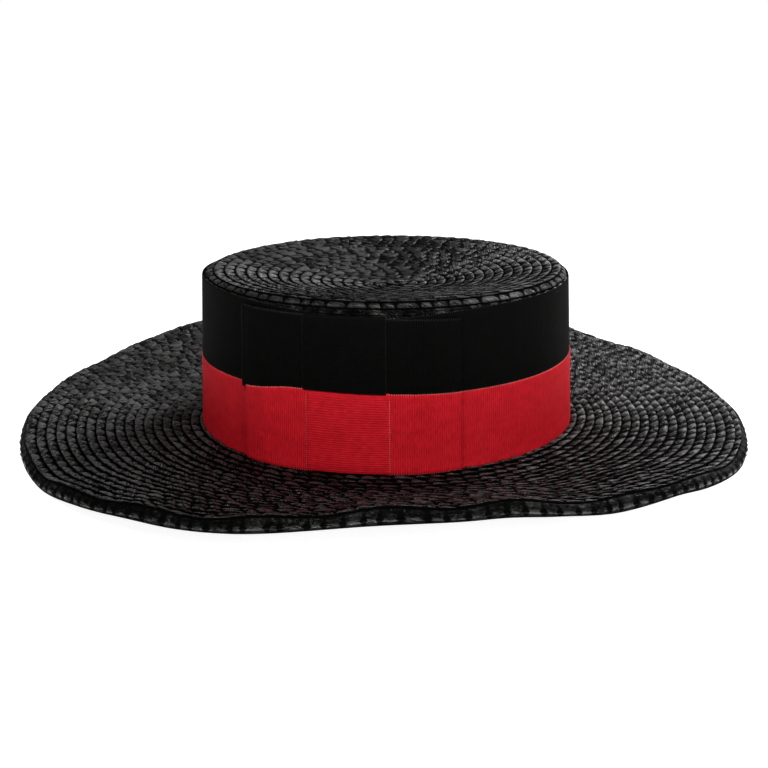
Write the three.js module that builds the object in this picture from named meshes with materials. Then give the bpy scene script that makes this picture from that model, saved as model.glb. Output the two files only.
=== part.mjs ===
// Straw boater hat: a dished crown, a waved brim with a turned down edge row, and a hatband of two
// ribbons with a flat bow. Millimetres, +Z up, resting on the flat ring round the head opening.
// X runs from the front of the hat (-X) to its back (+X), and the bow is on the -Y side.
import * as THREE from 'three';

// Driving sizes of the straw
const headLength = 195.4;
const headWidth = 165.4;
const straw = 2;
const crownHeight = 82.4;
const crownTaper = 4.6;
const cornerRadius = 5;
const dishDepth = 10.5;
const dishShift = 5;
const brimWidth = 92;
const flatRing = 12;
const rimLift = 20;
const edgeRowHeight = 5.6;
const edgeRowFlare = 1;
const edgeRipple = 1;

// Driving sizes of the ribbons
const ribbon = 1;
const redWidth = 38;
const blackWidth = 40;
const bowLength = 111;
const bowRise = 0.9;
const bowTopStep = 2.4;
const knotWidth = 39.5;
const bowPlace = -19;

// Clearances between pieces that touch
const gap = 0.3;

// How finely the round pieces are divided
const crownFacets = 72;
const rippleCount = 21;
const facetsPerRipple = 5;
const bowFacets = 12;
const knotFacets = 5;

// The brim's waves, by the angle round the crown: how far the edge reaches as a share of the brim's
// width, and how high its lower edge stands as a share of the rim's lift
const brimWaves = [
  { angle: 0, reach: 0.987, lift: 0.02 },
  { angle: 22.5, reach: 0.962, lift: 0.05 },
  { angle: 45, reach: 0.961, lift: 0.22 },
  { angle: 67.5, reach: 0.967, lift: 0.70 },
  { angle: 90, reach: 0.973, lift: 0.72 },
  { angle: 112.5, reach: 0.983, lift: 0.65 },
  { angle: 135, reach: 0.997, lift: 0.54 },
  { angle: 157.5, reach: 1.010, lift: 0.22 },
  { angle: 180, reach: 1.033, lift: 0.15 },
  { angle: 202.5, reach: 1.034, lift: 0.02 },
  { angle: 225, reach: 1.027, lift: 0.30 },
  { angle: 247.5, reach: 1.012, lift: 0.56 },
  { angle: 270, reach: 1.004, lift: 0.99 },
  { angle: 292.5, reach: 1.005, lift: 0.87 },
  { angle: 315, reach: 1.005, lift: 0.48 },
  { angle: 337.5, reach: 1.001, lift: 0.08 },
];

// The stations across the brim, as shares of its width outside the flat ring
const brimStations = [0, 0.14, 0.34, 0.58, 0.8, 0.93, 1];

// The rows of the tip, as shares of the way in from the corner to the centre
const tipStations = [0.16, 0.36, 0.6, 0.84];

// Sizes that follow from the driving ones
const ringTop = straw;
const wallFoot = ringTop + gap;
const crownTop = wallFoot + crownHeight;
const footHalfLength = headLength / 2 + straw;
const footHalfWidth = headWidth / 2 + straw;
const brimFacets = rippleCount * facetsPerRipple;

const black = new THREE.MeshStandardMaterial({ color: 0x191817, roughness: 0.35, metalness: 0 });
const blackRibbon = new THREE.MeshStandardMaterial({ color: 0x0b0b0a, roughness: 0.8, metalness: 0 });
const redRibbon = new THREE.MeshStandardMaterial({ color: 0xa81620, roughness: 0.75, metalness: 0 });

// A value from a column of the brim's table, run smoothly round the whole turn
function waveValue(column, angle) {
  const step = 360 / brimWaves.length;
  const turns = (((angle * 180) / Math.PI) % 360 + 360) % 360;
  const row = Math.floor(turns / step);
  const share = turns / step - row;
  const at = (k) => brimWaves[(row + k + brimWaves.length) % brimWaves.length][column];
  const before = (at(1) - at(-1)) / 2;
  const after = (at(2) - at(0)) / 2;
  const square = share * share;
  const cube = square * share;
  return (
    at(0) * (2 * cube - 3 * square + 1) +
    before * (cube - 2 * square + share) +
    at(1) * (3 * square - 2 * cube) +
    after * (cube - square)
  );
}

// A point that lies a distance outside the crown's oval, at an angle and a height
function outside(angle, distance, height, inward = 0) {
  const halfLength = footHalfLength - inward;
  const halfWidth = footHalfWidth - inward;
  const normal = new THREE.Vector2(Math.cos(angle) * halfWidth, Math.sin(angle) * halfLength).normalize();
  return new THREE.Vector3(
    halfLength * Math.cos(angle) + normal.x * distance,
    halfWidth * Math.sin(angle) + normal.y * distance,
    height,
  );
}

// How far the crown's side has come in from its foot at a height
function taperAt(height) {
  return (crownTaper * (height - wallFoot)) / (crownTop - wallFoot);
}

// The height of the brim's lower edge above the surface that the hat rests on
function rimHeight(angle) {
  return rimLift * waveValue('lift', angle);
}

// The small scallops of the last rows before the edge, fullest on the bow's side
function ripple(angle) {
  const fullness = 0.55 - 0.45 * Math.sin(angle);
  return edgeRipple * fullness * Math.cos(rippleCount * (angle + Math.PI / 2));
}

// The brim rises from the flat ring in a short bend and then goes straight to the edge
function riseShare(share) {
  const bend = 0.3;
  const run = 1 - bend / 2;
  return share < bend ? (share * share) / (2 * bend) / run : (share - bend / 2) / run;
}

function brimReach(angle) {
  return brimWidth * waveValue('reach', angle) - edgeRowFlare - straw - gap;
}

function brimUnderside(angle, share) {
  const edge = rimHeight(angle) + edgeRowHeight - straw;
  return edge * riseShare(share) + ripple(angle) * share ** 8;
}

// One closed body through sections of points: a full ring, or a strip with flat ends
function loft(sections, isRing) {
  const positions = [];
  const known = new Map();
  const indexOf = (point) => {
    const key = [point.x, point.y, point.z].map((value) => value.toFixed(5)).join(' ');
    if (!known.has(key)) {
      known.set(key, positions.length / 3);
      positions.push(point.x, point.y, point.z);
    }
    return known.get(key);
  };
  const grid = sections.map((section) => section.map(indexOf));
  const faces = [];
  const addFace = (a, b, c) => {
    if (a !== b && b !== c && c !== a) {
      faces.push(a, b, c);
    }
  };
  const spans = isRing ? grid.length : grid.length - 1;
  for (let i = 0; i < spans; i += 1) {
    const here = grid[i];
    const next = grid[(i + 1) % grid.length];
    for (let j = 0; j < here.length; j += 1) {
      const up = (j + 1) % here.length;
      addFace(here[j], next[j], next[up]);
      addFace(here[j], next[up], here[up]);
    }
  }
  if (!isRing) {
    const first = grid[0];
    const last = grid[grid.length - 1];
    for (let j = 1; j < first.length - 1; j += 1) {
      addFace(first[0], first[j], first[j + 1]);
      addFace(last[0], last[j + 1], last[j]);
    }
  }
  const geometry = new THREE.BufferGeometry();
  geometry.setAttribute('position', new THREE.Float32BufferAttribute(positions, 3));
  geometry.setIndex(faces);
  geometry.computeVertexNormals();
  return geometry;
}

function anglesRound(count) {
  return Array.from({ length: count }, (unused, i) => (2 * Math.PI * i) / count);
}

// The crown's section at an angle, up its outside to the centre of the tip and back down inside
function crownSection(angle) {
  const cornerSteps = 3;
  const outer = [];
  const inner = [];
  const shoulder = crownTop - cornerRadius;
  outer.push(outside(angle, 0, wallFoot));
  inner.push(outside(angle, 0, wallFoot, straw));
  for (let i = 0; i <= cornerSteps; i += 1) {
    const turn = ((Math.PI / 2) * i) / cornerSteps;
    const inward = taperAt(shoulder) + cornerRadius * (1 - Math.cos(turn));
    const height = shoulder + cornerRadius * Math.sin(turn);
    const innerRadius = cornerRadius - straw;
    outer.push(outside(angle, 0, height, inward));
    inner.push(outside(
      angle,
      0,
      shoulder + innerRadius * Math.sin(turn),
      taperAt(shoulder) + straw + innerRadius * (1 - Math.cos(turn)),
    ));
  }
  const tipEdge = outside(angle, 0, crownTop, taperAt(shoulder) + cornerRadius);
  const centre = new THREE.Vector3(dishShift, 0, crownTop);
  for (const share of [...tipStations, 1]) {
    const point = tipEdge.clone().lerp(centre, share);
    const sink = dishDepth * Math.sin((share * Math.PI) / 2) ** 1.4;
    outer.push(point.clone().setZ(crownTop - sink));
    inner.push(point.clone().setZ(crownTop - straw - sink));
  }
  return [...outer, ...inner.reverse()];
}

function brimSection(angle) {
  const top = [];
  const underside = [];
  const reach = brimReach(angle);
  underside.push(outside(angle, -straw, 0));
  top.push(outside(angle, -straw, straw));
  for (const share of brimStations) {
    const distance = flatRing + (reach - flatRing) * share;
    const height = brimUnderside(angle, share);
    underside.push(outside(angle, distance, height));
    top.push(outside(angle, distance, height + straw));
  }
  return [...underside, ...top.reverse()];
}

function edgeSection(angle) {
  const from = brimReach(angle) + gap;
  const low = rimHeight(angle);
  const high = brimUnderside(angle, 1) + straw;
  const shoulder = (high - low) / 4;
  return [
    outside(angle, from, high),
    outside(angle, from + edgeRowFlare, low),
    outside(angle, from + straw + edgeRowFlare, low),
    outside(angle, from + straw + edgeRowFlare / 2, high - shoulder),
    outside(angle, from + straw / 2, high + straw / 4),
  ];
}

// A flat ribbon that lies a distance outside the crown's side between two heights
function ribbonSection(angle, distance, bottom, top) {
  return [
    outside(angle, distance - taperAt(bottom), bottom),
    outside(angle, distance + ribbon - taperAt(bottom), bottom),
    outside(angle, distance + ribbon - taperAt(top), top),
    outside(angle, distance - taperAt(top), top),
  ];
}

// The angles of a strip of a length along the side, centred on a place across the front
function stripAngles(length, facets) {
  const middle = Math.acos(bowPlace / footHalfLength);
  const half = length / 2 / footHalfLength;
  return Array.from({ length: facets + 1 }, (unused, i) => -middle + half * ((2 * i) / facets - 1));
}

const band = { distance: gap };
const bow = { distance: band.distance + ribbon + gap, length: bowLength, facets: bowFacets };
const knot = { distance: bow.distance + ribbon + gap, length: knotWidth, facets: knotFacets };

const redTop = wallFoot + redWidth;
const blackTop = redTop + blackWidth;
const bowJoin = redTop + bowRise;
const bowTop = blackTop - bowTopStep;

function bandBody(bottom, top) {
  return loft(anglesRound(crownFacets).map((angle) => ribbonSection(angle, band.distance, bottom, top)), true);
}

function stripBody(layer, bottom, top) {
  const angles = stripAngles(layer.length, layer.facets);
  return loft(angles.map((angle) => ribbonSection(angle, layer.distance, bottom, top)), false);
}

const hat = new THREE.Group();

function addPiece(name, geometry, material) {
  const mesh = new THREE.Mesh(geometry, material);
  mesh.name = name;
  hat.add(mesh);
}

addPiece('crown', loft(anglesRound(crownFacets).map(crownSection), true), black);
addPiece('brim', loft(anglesRound(brimFacets).map(brimSection), true), black);
addPiece('brim_edge', loft(anglesRound(brimFacets).map(edgeSection), true), black);
addPiece('band_red', bandBody(wallFoot, redTop - gap), redRibbon);
addPiece('band_black', bandBody(redTop, blackTop), blackRibbon);
addPiece('bow_red', stripBody(bow, wallFoot, bowJoin - gap), redRibbon);
addPiece('bow_black', stripBody(bow, bowJoin, bowTop), blackRibbon);
addPiece('knot_red', stripBody(knot, wallFoot, bowJoin - gap), redRibbon);
addPiece('knot_black', stripBody(knot, bowJoin, bowTop), blackRibbon);

// The origin is under the middle of the hat's outline, on the surface that it rests on
const extent = new THREE.Box3().setFromObject(hat);
const middle = extent.getCenter(new THREE.Vector3());
hat.position.set(-middle.x, -middle.y, 0);

export default hat;
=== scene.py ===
"""A black straw boater with a two-tone ribbon band and a flat bow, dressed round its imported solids.

The straw is a plait sewn in a spiral, each turn lapping over the next one out. Lengths are in metres.
"""

import math

import bpy
import numpy as np
from mathutils import Matrix, Vector


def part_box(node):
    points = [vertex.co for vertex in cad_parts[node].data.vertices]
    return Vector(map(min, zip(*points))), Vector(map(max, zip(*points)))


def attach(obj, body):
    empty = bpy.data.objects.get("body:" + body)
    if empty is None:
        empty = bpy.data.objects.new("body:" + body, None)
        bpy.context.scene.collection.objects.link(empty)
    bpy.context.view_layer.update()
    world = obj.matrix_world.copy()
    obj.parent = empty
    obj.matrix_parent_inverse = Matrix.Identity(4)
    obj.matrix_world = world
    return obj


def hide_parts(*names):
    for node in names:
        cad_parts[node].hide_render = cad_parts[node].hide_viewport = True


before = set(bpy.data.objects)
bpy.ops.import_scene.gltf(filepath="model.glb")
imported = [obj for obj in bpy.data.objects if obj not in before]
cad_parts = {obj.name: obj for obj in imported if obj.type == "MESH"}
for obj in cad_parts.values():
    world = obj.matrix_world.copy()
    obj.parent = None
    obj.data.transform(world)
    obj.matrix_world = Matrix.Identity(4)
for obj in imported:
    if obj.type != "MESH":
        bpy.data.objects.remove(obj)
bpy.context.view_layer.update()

MM = 0.001
TURN = 2 * math.pi

# Sizes of the straw, after the solids
head_length = 195.4 * MM
head_width = 165.4 * MM
straw = 2 * MM
crown_height = 82.4 * MM
crown_taper = 4.6 * MM
corner_radius = 5 * MM
dish_depth = 10.5 * MM
dish_shift = 5 * MM
dish_curve = 1.4
middle_lump = 1.6 * MM
lump_share = 0.12
brim_width = 92 * MM
flat_ring = 12 * MM
rim_lift = 20 * MM
edge_row_height = 5.6 * MM
edge_row_flare = 1 * MM
edge_ripple = 1 * MM
ripple_count = 21
rim_clearance = 0.3 * MM
gap = 0.3 * MM

# Sizes of the ribbons
red_width = 38 * MM
black_width = 40 * MM
bow_length = 111 * MM
bow_rise = 0.9 * MM
bow_top_step = 2.4 * MM
knot_width = 39.5 * MM
bow_place = -19 * MM
ribbon_thickness = 0.45 * MM
rib_relief = 0.13 * MM
rib_loop = 0.6 * MM
rib_pitch = 1.1 * MM
weave_width = 40
band_off = 0.6 * MM
band_waver = 0.15 * MM
red_tuck = 1.3 * MM
red_flare = 0.4 * MM
black_tuck = 1.2 * MM
bow_puff = 0.8 * MM
bow_flare = 0.5 * MM
black_longer = 3.3 * MM

# The brim's waves: how far the edge reaches as a share of the brim's width, and how high its lower
# edge stands as a share of the rim's lift
brim_waves = [
    {"angle": 0, "reach": 0.987, "lift": 0.02},
    {"angle": 22.5, "reach": 0.962, "lift": 0.05},
    {"angle": 45, "reach": 0.961, "lift": 0.22},
    {"angle": 67.5, "reach": 0.967, "lift": 0.70},
    {"angle": 90, "reach": 0.973, "lift": 0.72},
    {"angle": 112.5, "reach": 0.983, "lift": 0.65},
    {"angle": 135, "reach": 0.997, "lift": 0.54},
    {"angle": 157.5, "reach": 1.010, "lift": 0.22},
    {"angle": 180, "reach": 1.033, "lift": 0.15},
    {"angle": 202.5, "reach": 1.034, "lift": 0.02},
    {"angle": 225, "reach": 1.027, "lift": 0.30},
    {"angle": 247.5, "reach": 1.012, "lift": 0.56},
    {"angle": 270, "reach": 1.004, "lift": 0.99},
    {"angle": 292.5, "reach": 1.005, "lift": 0.87},
    {"angle": 315, "reach": 1.005, "lift": 0.48},
    {"angle": 337.5, "reach": 1.008, "lift": 0.08},
]

# Small dips of the brim's edge between the long waves, and rises where the drop is negative
edge_dips = [
    {"angle": 27, "spread": 7, "drop": -1.0 * MM},
    {"angle": 56, "spread": 8, "drop": -2.0 * MM},
    {"angle": 213, "spread": 7, "drop": 1.2 * MM},
    {"angle": 233, "spread": 6, "drop": -0.9 * MM},
    {"angle": 286, "spread": 5, "drop": -1.1 * MM},
    {"angle": 301, "spread": 6, "drop": 1.5 * MM},
    {"angle": 314, "spread": 5, "drop": -1.2 * MM},
    {"angle": 338, "spread": 10, "drop": 1.2 * MM},
]

# Sizes of the plait: a cell's length, how many rows wide it is, how far a length runs on over the next
# in turns, and how thick, deep and tilted it lies
plait_cell = 8 * MM
plait_lap = 1.43
plait_overlap = 0.006
plait_thickness = 0.7 * MM
plait_relief = 0.9 * MM
plait_tilt = 1.25 * MM
tip_rows = 17
side_rows = 16
brim_rows = 19
first_row = 0.02
measured_across = 0.65
points_a_turn = 720

# How unevenly the cells lie, how their straws' grain runs, and the least painted light a gap keeps against
# its painted shade
cell_wobble = 0.55
cell_rise = 0.5
straw_lean = 2.6
lean_across = 0.7
straw_slope = 1.3
grain_row = 4.9
grain_slant = 1.2
least_painted_light = 0.42

crown_low, crown_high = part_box("crown")
crown_centre = (crown_low + crown_high) / 2
wall_foot = straw + gap
crown_top = wall_foot + crown_height
shoulder = crown_top - corner_radius
foot_half_length = head_length / 2 + straw
foot_half_width = head_width / 2 + straw
red_top = wall_foot + red_width
black_top = red_top + black_width
band_length = TURN * math.sqrt((foot_half_length**2 + foot_half_width**2) / 2)
corner_rows = corner_radius * TURN / 4 / (crown_height / side_rows)
side_end = tip_rows + corner_rows + side_rows


# Shapes of the straw

def smooth_step(share):
    """An even rise from 0 to 1."""
    held = np.clip(share, 0, 1)
    return held * held * (3 - 2 * held)


def together(*columns):
    """Columns of values side by side, each run out to the same length."""
    return np.stack(np.broadcast_arrays(*columns), -1)


def run_along(line):
    """How far along a line each of its points lies."""
    return np.concatenate([[0], np.cumsum(np.linalg.norm(np.diff(line, axis=0), axis=1))])


def wave_value(column, angle):
    """A value from a column of the brim's table, run smoothly round the whole turn."""
    rows = len(brim_waves)
    values = np.array([row[column] for row in brim_waves])
    place = (np.asarray(angle) / TURN * rows) % rows
    row = np.floor(place).astype(int)
    share = place - row
    before, here, after, beyond = (values[(row + k) % rows] for k in (-1, 0, 1, 2))
    square, cube = share**2, share**3
    return (
        here * (2 * cube - 3 * square + 1)
        + (after - before) / 2 * (cube - 2 * square + share)
        + after * (3 * square - 2 * cube)
        + (beyond - here) / 2 * (cube - square)
    )


def outside(angle, distance, height, inward=0.0):
    """Points a distance outside the crown's oval, at an angle and a height."""
    half_length = foot_half_length - inward
    half_width = foot_half_width - inward
    across_x = np.cos(angle) * half_width
    across_y = np.sin(angle) * half_length
    length = np.hypot(across_x, across_y)
    x = crown_centre.x + half_length * np.cos(angle) + across_x / length * distance
    y = crown_centre.y + half_width * np.sin(angle) + across_y / length * distance
    return together(x, y, height)


def taper_at(height):
    """How far the crown's side has come in from its foot at a height."""
    return crown_taper * (height - wall_foot) / (crown_top - wall_foot)


def near(angle, middle, spread):
    """A soft bump round an angle, 1 at its middle."""
    away = (angle - middle + math.pi) % TURN - math.pi
    return np.exp(-((away / spread) ** 2))


def rim_height(angle):
    """How high the brim's lower edge stands, with its small dips, and always clear of the floor."""
    height = rim_lift * wave_value("lift", angle)
    for dip in edge_dips:
        middle, spread = math.radians(dip["angle"]), math.radians(dip["spread"])
        height = height - dip["drop"] * near(angle, middle, spread)
    return np.maximum(height, rim_clearance)


def brim_reach(angle):
    """How far the brim goes out from the crown's oval, without the row on its edge."""
    return brim_width * wave_value("reach", angle) - edge_row_flare - straw - gap


def rise_share(share):
    """The brim rises from the flat ring in a short bend and then goes straight to the edge."""
    bend = 0.3
    run = 1 - bend / 2
    return np.where(share < bend, share**2 / (2 * bend) / run, (share - bend / 2) / run)


def brim_surface(angle, row):
    """The underside of the brim, from its first row at the crown to its last row at the edge."""
    reach = brim_reach(angle)
    distance = -straw + (reach + straw) * row / brim_rows
    share = np.clip((distance - flat_ring) / (reach - flat_ring), 0, 1.02)
    rim = rim_height(angle) + edge_row_height - straw
    towards_front = 0.55 - 0.45 * np.sin(angle)
    ripple = edge_ripple * towards_front * np.cos(ripple_count * (angle + TURN / 4)) * share**8
    return outside(angle, distance, rim * rise_share(share) + ripple)


def edge_surface(angle, row):
    """The outside of the last row, from under the brim's edge over a bend and down."""
    reach = brim_reach(angle)
    high = brim_surface(angle, brim_rows)[..., 2] + 0.5 * straw
    low = np.maximum(rim_height(angle) - 0.5 * MM, rim_clearance)
    fold = smooth_step(row / 0.3)
    fall = smooth_step((row + 0.1) / 1.2)
    out = reach - 0.6 * MM + (straw + 0.2 * MM) * fold + edge_row_flare * 0.4 * row
    return outside(angle, out, high + (low - high) * fall * 1.02)


def crown_surface(angle, row):
    """The outside of the crown: out from the middle of the tip, over the corner and down the side."""
    tip_share = np.clip(row / tip_rows, 0, 1)
    turn = np.clip((row - tip_rows) / corner_rows, 0, 1) * TURN / 4
    fall = np.clip((row - tip_rows - corner_rows) / side_rows, 0, 1)
    inward = taper_at(shoulder) + corner_radius * (1 - np.sin(turn))
    height = shoulder + corner_radius * np.cos(turn)
    side_height = shoulder + (wall_foot - shoulder) * fall
    on_side = row > tip_rows + corner_rows
    height = np.where(on_side, side_height, height)
    inward = np.where(on_side, taper_at(side_height), inward)
    edge = outside(angle, 0, height, inward)
    sink = dish_depth * np.sin((1 - tip_share) * TURN / 4) ** dish_curve
    sink -= middle_lump * smooth_step(1 - tip_share / lump_share)
    middle = np.array([crown_centre.x + dish_shift, crown_centre.y, crown_top])
    inside = middle + (edge - middle) * tip_share[..., None]
    inside[..., 2] = crown_top - sink
    return np.where((row < tip_rows)[..., None], inside, edge)


def raised(surface, angle, row, height):
    """Points a height off a surface, along its own slope's normal."""
    turn_nudge, row_nudge = 1e-3, 1e-2
    here = surface(angle, row)
    along = surface(angle + turn_nudge, row) - here
    across = surface(angle, row + row_nudge) - here
    normal = np.cross(across, along)
    normal *= np.sign((normal * roughly_out(surface, angle)).sum(-1))[..., None]
    normal /= np.maximum(np.linalg.norm(normal, axis=-1), 1e-12)[..., None]
    return here + normal * height[..., None]


def roughly_out(surface, angle):
    """Which way is out of a surface, roughly: up on the brim, and outward and up elsewhere."""
    outward = 0.0 if surface is brim_surface else 1.0
    return together(outward * np.cos(angle), outward * np.sin(angle), 1.0)


# Meshes

def loft(name, sections, closed, lines, values):
    """A closed solid through rings of points, with its own flat map and named values at its points.

    The flat map lies in a number of lines, one above the other, with a little room between them.
    """
    filled = 0.96
    crease = math.radians(42)
    count, ring, _ = sections.shape
    steps = count if closed else count - 1
    here = np.arange(steps)[:, None]
    point = np.arange(ring)[None, :]
    following = (here + 1) % count
    beside = (point + 1) % ring
    quads = np.stack([
        here * ring + point, here * ring + beside,
        following * ring + beside, following * ring + point,
    ], -1).reshape(-1, 4)
    caps = [] if closed else [np.arange(ring)[::-1], (count - 1) * ring + np.arange(ring)]
    corners = np.concatenate([quads.ravel(), *caps]).astype(np.int32)
    sizes = np.array([4] * len(quads) + [ring] * len(caps), np.int32)
    mesh = bpy.data.meshes.new(name)
    mesh.vertices.add(count * ring)
    mesh.vertices.foreach_set("co", sections.astype(np.float32).ravel())
    mesh.loops.add(len(corners))
    mesh.loops.foreach_set("vertex_index", corners)
    mesh.polygons.add(len(sizes))
    starts = np.concatenate([[0], np.cumsum(sizes)[:-1]]).astype(np.int32)
    mesh.polygons.foreach_set("loop_start", starts)
    mesh.update(calc_edges=True)
    per_line = math.ceil(steps / lines)
    line = here // per_line
    left = (here % per_line) / per_line
    low = (line + point / ring * filled) / lines
    high = (line + (point + 1) / ring * filled) / lines
    right = left + 1 / per_line
    u = together(left, left, right, right)
    v = together(low, high, high, low)
    flat = np.stack([np.broadcast_to(u, (steps, ring, 4)), v], -1).reshape(-1, 2)
    flat = np.concatenate([flat, np.zeros((len(corners) - len(flat), 2))])
    layer = mesh.uv_layers.new(name="OFBake")
    layer.uv.foreach_set("vector", flat.astype(np.float32).ravel())
    for key, value in values.items():
        kind = "FLOAT_VECTOR" if value.ndim == 3 else "FLOAT"
        attribute = mesh.attributes.new(key, kind, "POINT")
        field = "vector" if value.ndim == 3 else "value"
        attribute.data.foreach_set(field, value.astype(np.float32).ravel())
    mesh.polygons.foreach_set("use_smooth", np.ones(len(sizes), bool))
    mesh.set_sharp_from_angle(angle=crease)
    if signed_volume(sections, quads) < 0:
        mesh.flip_normals()
    piece = bpy.data.objects.new(name, mesh)
    bpy.context.scene.collection.objects.link(piece)
    return piece


def signed_volume(sections, quads):
    """A volume that is negative where the quads face inward."""
    points = sections.reshape(-1, 3) - sections.reshape(-1, 3).mean(0)
    a, b, c, d = (points[quads[:, k]] for k in range(4))
    return ((np.cross(a, b) * c).sum() + (np.cross(a, c) * d).sum()) / 6


# Along a cell of the plait: each line of points stands at shares of the place where the top straw
# starts, of where it ends and of where the next one starts, and at a height
plait_steps = [
    {"start": 1.0, "end": 0.0, "next": 0.0, "shift": -0.05, "height": 0.00, "top": 0},
    {"start": 1.0, "end": 0.0, "next": 0.0, "shift": 0.03, "height": 0.95, "top": 1},
    {"start": 0.6, "end": 0.4, "next": 0.0, "shift": 0.00, "height": 1.05, "top": 1},
    {"start": 0.0, "end": 1.0, "next": 0.0, "shift": -0.04, "height": 0.45, "top": 1},
    {"start": 0.0, "end": 1.0, "next": 0.0, "shift": 0.04, "height": 0.05, "top": 0},
    {"start": 0.0, "end": 0.5, "next": 0.5, "shift": 0.00, "height": 0.28, "top": 0},
]

# Across the plait, from the edge that is tucked in to the edge that laps over: where the top straw
# starts and ends, the share of the relief, the least height of a gap, which also sets its least
# painted light, how full the thickness is and how much painted light it gets, the rest being painted shade
# on the gaps and the rows' edges
brim_face = [
    {"across": 0.00, "start": 0.30, "end": 0.48, "relief": 0.0, "least": 0.00, "full": 0.35, "painted_light": 0.00},
    {"across": 0.31, "start": 0.26, "end": 0.54, "relief": 0.1, "least": 0.00, "full": 0.90, "painted_light": 0.30},
    {"across": 0.40, "start": 0.21, "end": 0.62, "relief": 0.6, "least": 0.00, "full": 1.00, "painted_light": 0.75},
    {"across": 0.55, "start": 0.16, "end": 0.72, "relief": 0.9, "least": 0.00, "full": 1.00, "painted_light": 1.00},
    {"across": 0.71, "start": 0.11, "end": 0.82, "relief": 1.0, "least": 0.05, "full": 1.00, "painted_light": 1.00},
    {"across": 0.86, "start": 0.08, "end": 0.90, "relief": 0.9, "least": 0.30, "full": 1.00, "painted_light": 1.00},
    {"across": 0.95, "start": 0.07, "end": 0.92, "relief": 0.7, "least": 0.50, "full": 0.90, "painted_light": 0.60},
    {"across": 1.00, "start": 0.07, "end": 0.92, "relief": 0.2, "least": 0.50, "full": 0.50, "painted_light": 0.00},
]
tip_face = [
    {"across": 0.00, "start": 0.32, "end": 0.48, "relief": 0.0, "least": 0.2, "full": 0.35, "painted_light": 0.0},
    {"across": 0.31, "start": 0.30, "end": 0.52, "relief": 0.2, "least": 0.4, "full": 0.90, "painted_light": 0.0},
    {"across": 0.40, "start": 0.24, "end": 0.62, "relief": 0.8, "least": 0.4, "full": 1.00, "painted_light": 0.7},
    {"across": 0.55, "start": 0.18, "end": 0.72, "relief": 1.0, "least": 0.4, "full": 1.00, "painted_light": 1.0},
    {"across": 0.71, "start": 0.12, "end": 0.82, "relief": 1.0, "least": 0.4, "full": 1.00, "painted_light": 1.0},
    {"across": 0.86, "start": 0.08, "end": 0.90, "relief": 0.9, "least": 0.45, "full": 1.00, "painted_light": 1.0},
    {"across": 0.95, "start": 0.06, "end": 0.93, "relief": 0.6, "least": 0.5, "full": 0.90, "painted_light": 0.6},
    {"across": 1.00, "start": 0.06, "end": 0.93, "relief": 0.3, "least": 0.5, "full": 0.50, "painted_light": 0.1},
]
corner_face = [
    {"across": 0.00, "start": 0.20, "end": 0.72, "relief": 0.0, "least": 0.3, "full": 0.35, "painted_light": 0.00},
    {"across": 0.31, "start": 0.18, "end": 0.74, "relief": 0.2, "least": 0.4, "full": 0.90, "painted_light": 0.30},
    {"across": 0.45, "start": 0.15, "end": 0.80, "relief": 0.8, "least": 0.4, "full": 1.00, "painted_light": 0.56},
    {"across": 0.68, "start": 0.08, "end": 0.90, "relief": 1.0, "least": 0.5, "full": 1.00, "painted_light": 0.60},
    {"across": 0.88, "start": 0.06, "end": 0.93, "relief": 0.8, "least": 0.7, "full": 0.95, "painted_light": 0.50},
    {"across": 1.00, "start": 0.06, "end": 0.93, "relief": 0.3, "least": 0.7, "full": 0.50, "painted_light": 0.10},
]
shoulder_face = [
    {"across": 0.00, "start": 0.32, "end": 0.48, "relief": 0.0, "least": 0.2, "full": 0.35, "painted_light": 0.0},
    {"across": 0.31, "start": 0.22, "end": 0.60, "relief": 0.2, "least": 0.4, "full": 0.90, "painted_light": 1.0},
    {"across": 0.42, "start": 0.14, "end": 0.70, "relief": 1.0, "least": 0.1, "full": 1.00, "painted_light": 1.0},
    {"across": 0.52, "start": 0.30, "end": 0.52, "relief": 0.1, "least": 0.3, "full": 1.00, "painted_light": 1.0},
    {"across": 0.64, "start": 0.10, "end": 0.80, "relief": 1.2, "least": 0.1, "full": 1.00, "painted_light": 1.0},
    {"across": 0.76, "start": 0.24, "end": 0.62, "relief": 0.1, "least": 0.3, "full": 1.00, "painted_light": 1.0},
    {"across": 0.90, "start": 0.08, "end": 0.86, "relief": 1.0, "least": 0.3, "full": 0.90, "painted_light": 1.0},
    {"across": 1.00, "start": 0.08, "end": 0.90, "relief": 0.3, "least": 0.5, "full": 0.50, "painted_light": 0.1},
]
edge_face = [
    {"across": 0.00, "start": 0.08, "end": 0.92, "relief": 0.0, "least": 0.9, "full": 0.5, "painted_light": 0.34},
    {"across": 0.12, "start": 0.08, "end": 0.92, "relief": 0.2, "least": 0.9, "full": 0.8, "painted_light": 0.40},
    {"across": 0.36, "start": 0.14, "end": 0.86, "relief": 0.4, "least": 0.8, "full": 0.9, "painted_light": 0.38},
    {"across": 0.52, "start": 0.24, "end": 0.76, "relief": 0.8, "least": 0.5, "full": 1.0, "painted_light": 0.60},
    {"across": 0.60, "start": 0.18, "end": 0.82, "relief": 1.4, "least": 0.4, "full": 1.0, "painted_light": 1.00},
    {"across": 0.66, "start": 0.14, "end": 0.86, "relief": 0.6, "least": 0.7, "full": 1.0, "painted_light": 0.42},
    {"across": 0.94, "start": 0.08, "end": 0.92, "relief": 0.2, "least": 0.9, "full": 0.9, "painted_light": 0.36},
    {"across": 1.00, "start": 0.08, "end": 0.92, "relief": 0.1, "least": 0.9, "full": 0.5, "painted_light": 0.30},
]
lower_face = [
    {"across": 1.00, "start": 0.08, "end": 0.91, "relief": 0.0, "least": 0.5, "full": -0.7, "painted_light": 0.0},
    {"across": 0.62, "start": 0.20, "end": 0.60, "relief": -0.2, "least": 0.0, "full": 0.0, "painted_light": 0.8},
    {"across": 0.00, "start": 0.34, "end": 0.44, "relief": 0.0, "least": 0.0, "full": 0.0, "painted_light": 0.8},
]


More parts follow.
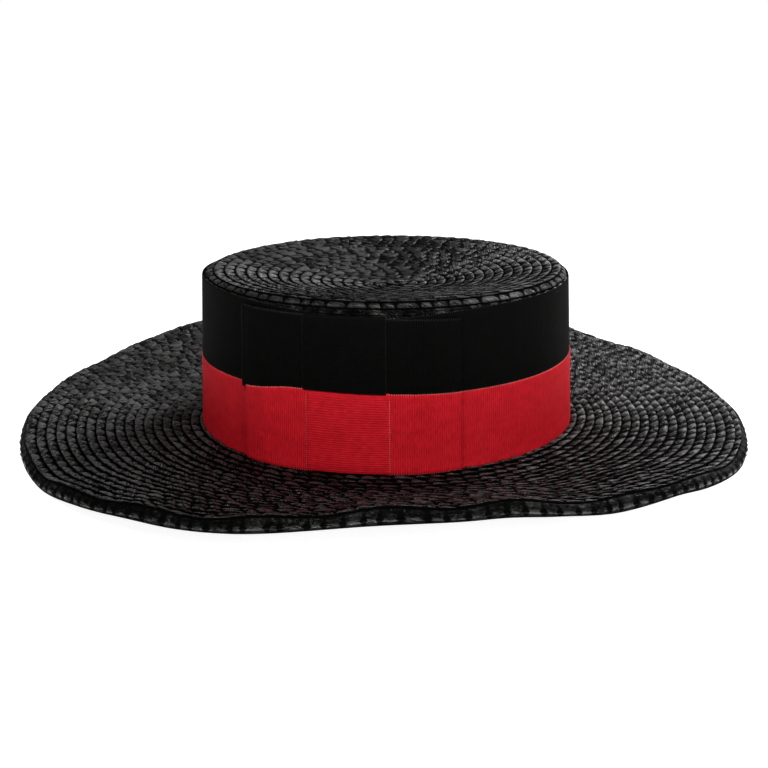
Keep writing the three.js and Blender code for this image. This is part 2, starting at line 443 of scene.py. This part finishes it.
def braid(name, surface, first, last, seed, lines, limit=None, spiral=True, width=plait_lap,
          face=brim_face, tilt=plait_tilt, relief=plait_relief, sunk=0.0, grain=(1.0, 1.0)):
    """A length of plait laid on a surface, or sunk below it, from one turn to another."""
    rng = np.random.default_rng(seed)
    turns = np.linspace(first, last + plait_overlap, int((last - first) * points_a_turn) + 2)

    def rows_at(turn, across):
        span = width if limit is None else np.minimum(width, limit - turn)
        start = turn if spiral else np.zeros_like(turn)
        return np.maximum(start + across * span, first_row)

    length = run_along(surface(turns * TURN, rows_at(turns, measured_across)))
    cells = int(length[-1] / plait_cell)
    cell_length = length[-1] / cells
    cell = np.repeat(np.arange(cells), len(plait_steps))
    step = {key: np.tile([row[key] for row in plait_steps], cells) for key in plait_steps[0]}
    taller, leaning, sloping, shade, wobble = (rng.random(cells + 1) - 0.5 for _ in range(5))
    points, plait, tone, painted_light_share = [], [], [], []
    for row in face + lower_face:
        across = row["across"]
        place = step["start"] * row["start"] + step["end"] * row["end"]
        place = cell + (place + step["next"] * (1 + row["start"])) + step["shift"]
        where = place + np.interp(place, np.arange(cells + 1), cell_wobble * wobble)
        where = np.clip(where, 0, cells) * cell_length
        turn = np.interp(where, length, turns)
        lean = straw_lean * leaning[cell] * (across - lean_across)
        lean = lean + straw_slope * sloping[cell] * (place - cell - 0.5)
        stands = np.maximum(step["height"], row["least"]) * (1 + cell_rise * taller[cell])
        stands = stands + step["top"] * lean
        height = tilt * across - sunk + plait_thickness * row["full"] + relief * row["relief"] * stands
        points.append(raised(surface, turn * TURN, rows_at(turn, across), height))
        along = (where / MM - grain_slant * across * width * grain_row) * grain[0]
        plait.append(together(along, across * width * grain_row * grain[1], 0.0))
        tone.append(shade[cell] + 0.5)
        # painted light: how much gloss each point keeps against a near-black matte, so the gaps and the
        # rows' edges get painted shade
        painted_lit = np.maximum(np.maximum(step["height"], step["top"]), max(row["least"], least_painted_light))
        painted_light_share.append(painted_lit * row["painted_light"])
    values = {"plait": np.stack(plait, 1), "tone": np.stack(tone, 1), "painted_light_share": np.stack(painted_light_share, 1)}
    return loft(name, np.stack(points, 1), False, lines, values)


# Finishes

class Term:
    """One output of a node, so that a finish's sums read as plain expressions."""

    def __init__(self, finish, socket):
        self.finish = finish
        self.socket = socket

    def __add__(self, other):
        return self.finish.sum("ADD", self, other)

    def __radd__(self, other):
        return self.finish.sum("ADD", other, self)

    def __sub__(self, other):
        return self.finish.sum("SUBTRACT", self, other)

    def __rsub__(self, other):
        return self.finish.sum("SUBTRACT", other, self)

    def __mul__(self, other):
        return self.finish.sum("MULTIPLY", self, other)

    def __rmul__(self, other):
        return self.finish.sum("MULTIPLY", other, self)


class Finish:
    """The nodes of a material or a world."""

    def __init__(self, owner):
        self.owner = owner
        owner.use_nodes = True
        self.tree = owner.node_tree
        self.tree.nodes.clear()

    def node(self, kind, settings, inputs, output=0):
        """A node of a kind: its settings first, and then its inputs as values or links."""
        made = self.tree.nodes.new(kind)
        for name, value in settings.items():
            setattr(made, name, value)
        for name, value in inputs.items():
            if isinstance(value, Term):
                self.tree.links.new(value.socket, made.inputs[name])
            else:
                made.inputs[name].default_value = value
        return Term(self, made.outputs[output] if made.outputs else None)

    def sum(self, operation, one, other):
        return self.node("ShaderNodeMath", {"operation": operation}, {0: one, 1: other})

    def mix(self, share, one, other):
        return self.node("ShaderNodeMix", {"data_type": "RGBA"}, {0: share, 6: one, 7: other}, 2)

    def eased(self, value, low, high):
        """How far a value has come from a low to a high, eased at both ends."""
        inputs = {"Value": value, "From Min": low, "From Max": high}
        return self.node("ShaderNodeMapRange", {"interpolation_type": "SMOOTHSTEP"}, inputs)

    def noise(self, place, scale=1.0, detail=2.0):
        inputs = {"Vector": place, "Scale": scale, "Detail": detail}
        return self.node("ShaderNodeTexNoise", {}, inputs, "Fac")

    def drawn_out(self, place, scale, detail=3.0):
        """Noise drawn out along a straw or a thread."""
        stretched = self.node("ShaderNodeVectorMath", {"operation": "MULTIPLY"}, {0: place, 1: scale})
        return self.noise(stretched, detail=detail)

    def at(self, name, output="Vector"):
        """A value that a piece's mesh carries at its points."""
        return self.node("ShaderNodeAttribute", {"attribute_name": name}, {}, output)

    def bump(self, height, strength, distance):
        inputs = {"Height": height, "Strength": strength, "Distance": distance}
        return self.node("ShaderNodeBump", {}, inputs, "Normal")

    def shader(self, inputs):
        return self.node("ShaderNodeBsdfPrincipled", {}, inputs, "BSDF")

    def shown(self, shader, output="ShaderNodeOutputMaterial"):
        """Joins a shader to the output and hands back the material or the world."""
        self.node(output, {}, {"Surface": shader})
        return self.owner


def straw_finish():
    """Black dyed straw with a gloss, fibres along each straw and a tone for each one, with painted shade: a
    near-black matte mixed into the gaps and the rows' edges.
    """
    finish = Finish(bpy.data.materials.new("black_straw"))
    place = finish.at("plait")
    tone = finish.at("tone", "Fac")
    fibres = finish.drawn_out(place, (1.1, 0.28, 1.0))
    patches = finish.drawn_out(place, (0.05, 0.12, 1.0), 2.0)
    dark, light = (0.002, 0.002, 0.0018, 1), (0.010, 0.0098, 0.0088, 1)
    straws = finish.shader({
        "Base Color": finish.mix(tone * 0.6 + fibres * 0.4, dark, light),
        "Roughness": 0.12 + 0.15 * fibres + 0.15 * tone + 0.1 * patches,
        "Normal": finish.bump(fibres, 1.0, 1.1 * MM),
        "Specular IOR Level": 0.86,
    })
    # painted shade: a near-black matte for the plait's gaps and rows' edges, and for random matte streaks
    matte_and_painted_shade = finish.shader({
        "Base Color": (0.0008, 0.0008, 0.0007, 1),
        "Roughness": 0.9,
        "Specular IOR Level": 0.01,
    })
    # painted light share from the plait: low in the gaps and on the rows' edges, where it paints shade
    painted_light_mix = finish.eased(finish.at("painted_light_share", "Fac"), 0.28, 0.85)
    streaks = finish.drawn_out(place, (1.0, 0.3, 1.0))
    gloss_and_painted_shade = painted_light_mix * (0.15 + 0.85 * finish.eased(streaks + 0.15 * tone, 0.44, 0.66))
    return finish.shown(finish.node("ShaderNodeMixShader", {}, {0: gloss_and_painted_shade, 1: matte_and_painted_shade, 2: straws}))


def ribbon_finish(name, dark, light, loops, roughness, gloss):
    """Corded ribbon: ribs from its shape with painted light on their crests and painted shade between them,
    threads along them, and small loops at its edges painted light with painted shadow between them.
    """
    finish = Finish(bpy.data.materials.new(name))
    place = finish.at("weave")
    threads = finish.drawn_out(place, (1.6, 0.3, 1.0))
    cloudy = finish.drawn_out(place, (0.12, 0.22, 1.0))
    painted_rib_light = finish.at("painted_rib_light", "Fac")
    # thread tone, and painted light and shade: the ribs' crests lighter, their troughs darker
    threads_and_painted_ribs = finish.mix(threads * 0.9 + cloudy * 0.5 + painted_rib_light * 0.35 - 0.4, dark, light)
    return finish.shown(finish.shader({
        # painted highlight on the loops at the ribbon's edges
        "Base Color": finish.mix(finish.eased(painted_rib_light, 1.1, 1.7), threads_and_painted_ribs, loops),
        "Roughness": roughness + 0.15 * threads,
        "Normal": finish.bump(threads, 0.4, 0.15 * MM),
        "Specular IOR Level": gloss,
    }))


straw_black = straw_finish()
ribbon_black = ribbon_finish(
    "black_ribbon",
    dark=(0.0005, 0.0006, 0.0005, 1),
    light=(0.0022, 0.0025, 0.0021, 1),
    # painted highlight colour of the edge loops
    loops=(0.03, 0.032, 0.03, 1),
    roughness=0.6,
    gloss=0.03,
)
ribbon_red = ribbon_finish(
    "red_ribbon",
    dark=(0.26, 0.0008, 0.005, 1),
    light=(0.68, 0.012, 0.022, 1),
    # painted highlight colour of the edge loops
    loops=(0.85, 0.30, 0.26, 1),
    roughness=0.6,
    gloss=0.1,
)


def dress(piece, finish, slot, *nodes):
    """Gives a piece its finish, puts it under the root and hides the solids that it stands for; the slot is
    not used.
    """
    piece.data.materials.append(finish)
    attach(piece, "root")
    if nodes:
        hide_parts(*nodes)


# The straw pieces

crown_parts = [
    {"name": "tip_plait", "last": 16.35, "face": tip_face, "relief": 0.5 * MM, "deeper": 0.0},
    {"name": "corner_plait", "last": 17.35, "face": corner_face, "relief": 0.35 * MM, "deeper": 0.0},
    {"name": "shoulder_plait", "last": 18.35, "face": shoulder_face, "relief": 1.1 * MM, "deeper": 0.1 * MM},
    {"name": "side_plait", "last": side_end - 0.3, "face": brim_face, "relief": 0.45 * MM, "deeper": gap},
]
first = -0.8
for index, part in enumerate(crown_parts):
    plait = braid(
        part["name"], crown_surface, first, part["last"], limit=side_end, seed=3 + index, lines=6,
        face=part["face"], tilt=0.85 * MM, relief=part["relief"], sunk=straw + part["deeper"],
    )
    dress(plait, straw_black, "straw", *(["crown"] if index == 0 else []))
    first = part["last"]

first = -1.0
for index, (part, last) in enumerate([("inner", 7.6), ("middle", 13.6), ("outer", 18.8)]):
    name = f"brim_plait_{part}"
    plait = braid(name, brim_surface, first, last, limit=brim_rows, seed=10 + index, lines=8)
    dress(plait, straw_black, "straw", *(["brim"] if index == 0 else []))
    first = last

edge_plait = braid(
    "edge_plait", edge_surface, 0.0, 1.0, seed=20, lines=2, spiral=False, width=1.0, face=edge_face,
    tilt=0.2 * MM, relief=0.5 * MM, grain=(0.3, 5.0),
)
dress(edge_plait, straw_black, "straw", "brim_edge")


# The ribbons

selvedge = np.array([0.0, 0.012, 0.05, 0.25, 0.5, 0.75, 0.95, 0.988, 1.0])


def corded(name, places, closed, put_at):
    """A ribbon's solid: ribs across it on its outer side, and edges in small loops."""
    lines = 4 if closed else 3
    rise = 0.5 - 0.5 * np.cos(TURN * places / rib_pitch)
    points, weave, painted_rib_light = [], [], []
    for side in (1, -1):
        for part in selvedge if side == 1 else selvedge[::-4]:
            is_edge = part in (0.0, 1.0)
            loop = rib_loop * (rise - 0.4) * (0 if not is_edge else 1 if part else -1)
            thick = ribbon_thickness / 2 * (0.5 if is_edge else 1.0)
            relief = rib_relief * rise * (side == 1) * (0.2 if is_edge else 1.0)
            points.append(put_at(part, loop, (thick + relief) * side))
            weave.append(together(places / MM, weave_width * part, 0.0))
            # painted light on the ribs' crests; at the edges it falls below zero between the loops as
            # painted shadow and rises on the loops as their painted highlight
            painted_rib_light.append(3 * rise - 1 if is_edge else rise)
    values = {"weave": np.stack(weave, 1), "painted_rib_light": np.stack(painted_rib_light, 1)}
    ribbon = loft(name, np.stack(points, 1), closed, lines, values)
    return ribbon


def band_piece(name, bottom, top, distance):
    """A ribbon round the whole crown, its ribs upright."""
    ribs = int(band_length / rib_pitch)
    places = np.arange(ribs * 4) * rib_pitch / 4
    angle = places / (ribs * rib_pitch) * TURN

    def put_at(part, loop, off):
        low, high = bottom(angle), top(angle)
        height = low + (high - low) * part + loop
        return outside(angle, distance(angle, part) + off - taper_at(height), height)

    return corded(name, places, True, put_at)


def black_edge(angle):
    """The top of the black band, a little higher at the front left and lower at the bow."""
    higher = 2.4 * MM * near(angle, math.radians(195), 0.75)
    lower = 3.2 * MM * near(angle, math.radians(266), 0.42)
    return black_top + higher - lower


red_band = band_piece(
    "red_band",
    lambda angle: wall_foot - red_tuck,
    lambda angle: red_top,
    lambda angle, part: band_off + red_flare * part**4 + band_waver * np.sin(3 * angle + 1),
)
dress(red_band, ribbon_red, "ribbon_red", "band_red")
black_band = band_piece(
    "black_band",
    lambda angle: red_top - black_tuck,
    black_edge,
    lambda angle, part: band_off + band_waver * np.sin(2 * angle),
)
dress(black_band, ribbon_black, "ribbon_black", "band_black")


def rounded(corners, radius, step):
    """A line through listed corners, each one rounded, as places a step apart."""
    bend_points = 9
    corners = [np.array(corner, float) for corner in corners]
    line = [corners[0]]
    for before, corner, after in zip(corners, corners[1:], corners[2:]):
        start = corner + (before - corner) * min(0.5, radius / np.linalg.norm(before - corner))
        end = corner + (after - corner) * min(0.5, radius / np.linalg.norm(after - corner))
        for share in np.linspace(0, 1, bend_points):
            line.append(start * (1 - share) ** 2 + corner * 2 * share * (1 - share) + end * share**2)
    line.append(corners[-1])
    line = np.array(line)
    length = run_along(line)
    places = np.linspace(0, length[-1], int(length[-1] / step) + 1)
    return np.stack([np.interp(places, length, line[:, k]) for k in (0, 1)], -1), places


def side_by_side(line):
    """The sideways direction at each place of a flat line."""
    run = np.gradient(line, axis=0)
    run /= np.maximum(np.linalg.norm(run, axis=1), 1e-12)[:, None]
    return np.stack([run[:, 1], -run[:, 0]], -1)


def ribbon_piece(name, corners, radius, place_of):
    """A ribbon that follows a folded line, its ribs across it."""
    line, places = rounded(corners, radius, rib_pitch / 4)
    turned = side_by_side(line)

    def put_at(part, loop, off):
        return place_of(line + turned * off[:, None], part, loop)

    return corded(name, places, False, put_at)


bow_middle = -math.acos(bow_place / foot_half_length)
bow_join = red_top + bow_rise
bow_top = black_top - bow_top_step


def join_at(along):
    """The height where the two colours of the bow meet, which falls off towards both ends."""
    share = along / bow_length * 2
    fall_left = 3.4 * MM * smooth_step((-share - 0.45) / 0.55)
    fall_right = 1.9 * MM * np.clip((share + 0.17) / 1.17, 0, 1)
    return bow_join + 1.7 * MM - fall_left - fall_right


def top_at(along):
    """The height of the bow's top, lower at its right end."""
    slope = 0.8 * MM * (0.5 - along / bow_length)
    fall_right = 1.8 * MM * smooth_step(along / (0.5 * bow_length))
    return bow_top + slope - fall_right


def bow_half(name, low_at, high_at, forward, longer):
    """Both loops of one colour: flat folds that meet behind the knot."""
    half = bow_length / 2
    back, front = 1.75 * MM, 2.85 * MM
    middle = (back + front) / 2
    fold = 1 * MM
    tail = 4 * MM
    flat = 14 * MM

    def place_of(moved, part, loop):
        along = moved[:, 0]
        angle = bow_middle + along / foot_half_length
        share = np.clip((np.abs(along) - flat) / (half - flat), 0, 1)
        puff = bow_puff * np.sin(share * math.pi) ** 0.7
        height = low_at(along) + (high_at(along) - low_at(along)) * part + loop
        out = moved[:, 1] + puff * (moved[:, 1] - back) / (front - back) + forward(part)
        return outside(angle, out - taper_at(height), height)

    left = half + longer
    corners = [
        (tail, back), (half - fold, back), (half, middle), (half - fold, front), (0, front),
        (-left + fold, front), (-left, middle), (-left + fold, back), (-tail, back),
    ]
    return ribbon_piece(name, corners, 0.6 * MM, place_of)


def knot_half(name, corners, shift, forward):
    """The part of one colour of the ribbon that wraps over the bow from top to bottom."""
    join_reach = 20 * MM

    def place_of(moved, part, loop):
        along = (part - 0.5) * knot_width + shift + loop
        angle = bow_middle + along / foot_half_length
        near_join = np.clip(1 - np.abs(moved[:, 0] - bow_join) / join_reach, 0, 1)
        height = moved[:, 0] + (join_at(along) - bow_join) * near_join
        return outside(angle, moved[:, 1] + forward - taper_at(height), height)

    return ribbon_piece(name, corners, 1.0 * MM, place_of)


red_bow = bow_half(
    "red_bow",
    lambda along: wall_foot - 0.2 * MM,
    join_at,
    lambda part: bow_flare * part**4,
    0.0,
)
dress(red_bow, ribbon_red, "ribbon_red", "bow_red")
black_bow = bow_half(
    "black_bow",
    lambda along: join_at(along) - 1.0 * MM,
    top_at,
    lambda part: 0.0,
    black_longer,
)
dress(black_bow, ribbon_black, "ribbon_black", "bow_black")

knot_back, knot_front = 1.4 * MM, 4.1 * MM
knot_top = bow_top + 0.7 * MM
knot_foot = wall_foot
black_knot = knot_half(
    "black_knot",
    [
        (knot_top - 5 * MM, knot_back), (knot_top, knot_back + 0.2 * MM), (knot_top, knot_front - 0.5 * MM),
        (knot_top - 4 * MM, knot_front), (bow_join - 0.1 * MM, knot_front),
    ],
    -0.8 * MM, 0.12 * MM,
)
dress(black_knot, ribbon_black, "ribbon_black", "knot_black")
red_knot = knot_half(
    "red_knot",
    [
        (bow_join + 0.5 * MM, knot_front - 0.45 * MM), (bow_join - 2 * MM, knot_front - 0.1 * MM),
        (knot_foot + 4 * MM, knot_front), (knot_foot, knot_front - 0.5 * MM),
        (knot_foot, knot_back + 0.3 * MM), (knot_foot + 4 * MM, knot_back),
    ],
    0.8 * MM, 0.0,
)
dress(red_knot, ribbon_red, "ribbon_red", "knot_red")


# Camera and light

def place_camera():
    """The photograph's view, from a little above the hat's side, for a frame 768 pixels square."""
    picture = 768
    focal = 1094.06
    sensor = 36.0
    lean = math.radians(0.42)
    rise = math.radians(19.22)
    aim = Vector((-1.28 * MM, 0, 14.96 * MM))
    reach = 600 * MM
    eye = aim + Vector((0, -reach * math.cos(rise), reach * math.sin(rise)))
    forward = Vector((0, math.cos(rise), -math.sin(rise)))
    up = Vector((0, math.sin(rise), math.cos(rise)))
    turn = Matrix.Rotation(lean, 4, "Y")
    data = bpy.data.cameras.new("view")
    data.sensor_width = sensor
    data.lens = focal / picture * sensor
    camera = bpy.data.objects.new("view", data)
    foot = Vector((crown_centre.x, crown_centre.y, wall_foot))
    right = forward.cross(up)
    axes = Matrix((right, up, -forward)).transposed().to_4x4()
    camera.matrix_world = Matrix.Translation(foot) @ turn @ Matrix.Translation(eye) @ axes
    bpy.context.scene.collection.objects.link(camera)
    bpy.context.scene.camera = camera


def soft_light(name, place, size, power):
    """A white box light that looks at the middle of the hat."""
    aim = Vector((0, 0, 50 * MM))
    data = bpy.data.lights.new(name, "AREA")
    data.shape = "RECTANGLE"
    data.size, data.size_y = size
    data.energy = power
    light = bpy.data.objects.new(name, data)
    light.location = place
    light.rotation_mode = "QUATERNION"
    light.rotation_quaternion = (aim - Vector(place)).to_track_quat("-Z", "Y")
    bpy.context.scene.collection.objects.link(light)


def pale_floor():
    """A plain pale floor that glows, so that it comes out white."""
    finish = Finish(bpy.data.materials.new("pale_floor"))
    grain = finish.noise(finish.node("ShaderNodeTexCoord", {}, {}, "Object"), 30.0)
    surface = finish.shown(finish.shader({
        "Base Color": finish.mix(grain, (0.58, 0.58, 0.58, 1), (0.62, 0.62, 0.62, 1)),
        "Roughness": 0.9,
        "Specular IOR Level": 0.1,
        "Emission Color": (1, 1, 1, 1),
        "Emission Strength": 0.93,
    }))
    half = 6
    mesh = bpy.data.meshes.new("floor")
    corners = [(-half, -half, 0), (half, -half, 0), (half, half, 0), (-half, half, 0)]
    mesh.from_pydata(corners, [], [(0, 1, 2, 3)])
    mesh.materials.append(surface)
    floor = bpy.data.objects.new("floor", mesh)
    bpy.context.scene.collection.objects.link(floor)


def white_room():
    """A white wall behind the hat, and a dimmer ceiling and front."""
    room = Finish(bpy.data.worlds.new("room"))
    place = room.node("ShaderNodeTexCoord", {}, {}, "Generated")
    height = room.node("ShaderNodeSeparateXYZ", {}, {"Vector": place}, "Z")
    behind = room.node("ShaderNodeSeparateXYZ", {}, {"Vector": place}, "Y")
    white, front, ceiling = ((shade, shade, shade, 1) for shade in (1, 0.08, 0.12))
    wall = room.mix(room.eased(behind, 0.35, 0.85), front, white)
    light = room.mix(room.eased(height, 0.03, 0.3), wall, ceiling)
    background = room.node("ShaderNodeBackground", {}, {"Color": light, "Strength": 1.0})
    bpy.context.scene.world = room.shown(background, "ShaderNodeOutputWorld")
    bpy.context.scene.view_settings.view_transform = "Standard"


place_camera()
pale_floor()
white_room()
lights = [
    {"name": "back_box", "place": (1.0, 1.0, 0.9), "size": (0.8, 0.8), "power": 24},
    {"name": "right_box", "place": (0.8, -1.1, 0.8), "size": (0.5, 0.5), "power": 14},
    {"name": "high_box", "place": (-0.3, -0.5, 1.1), "size": (0.25, 0.25), "power": 9.5},
]
for light in lights:
    soft_light(**light)
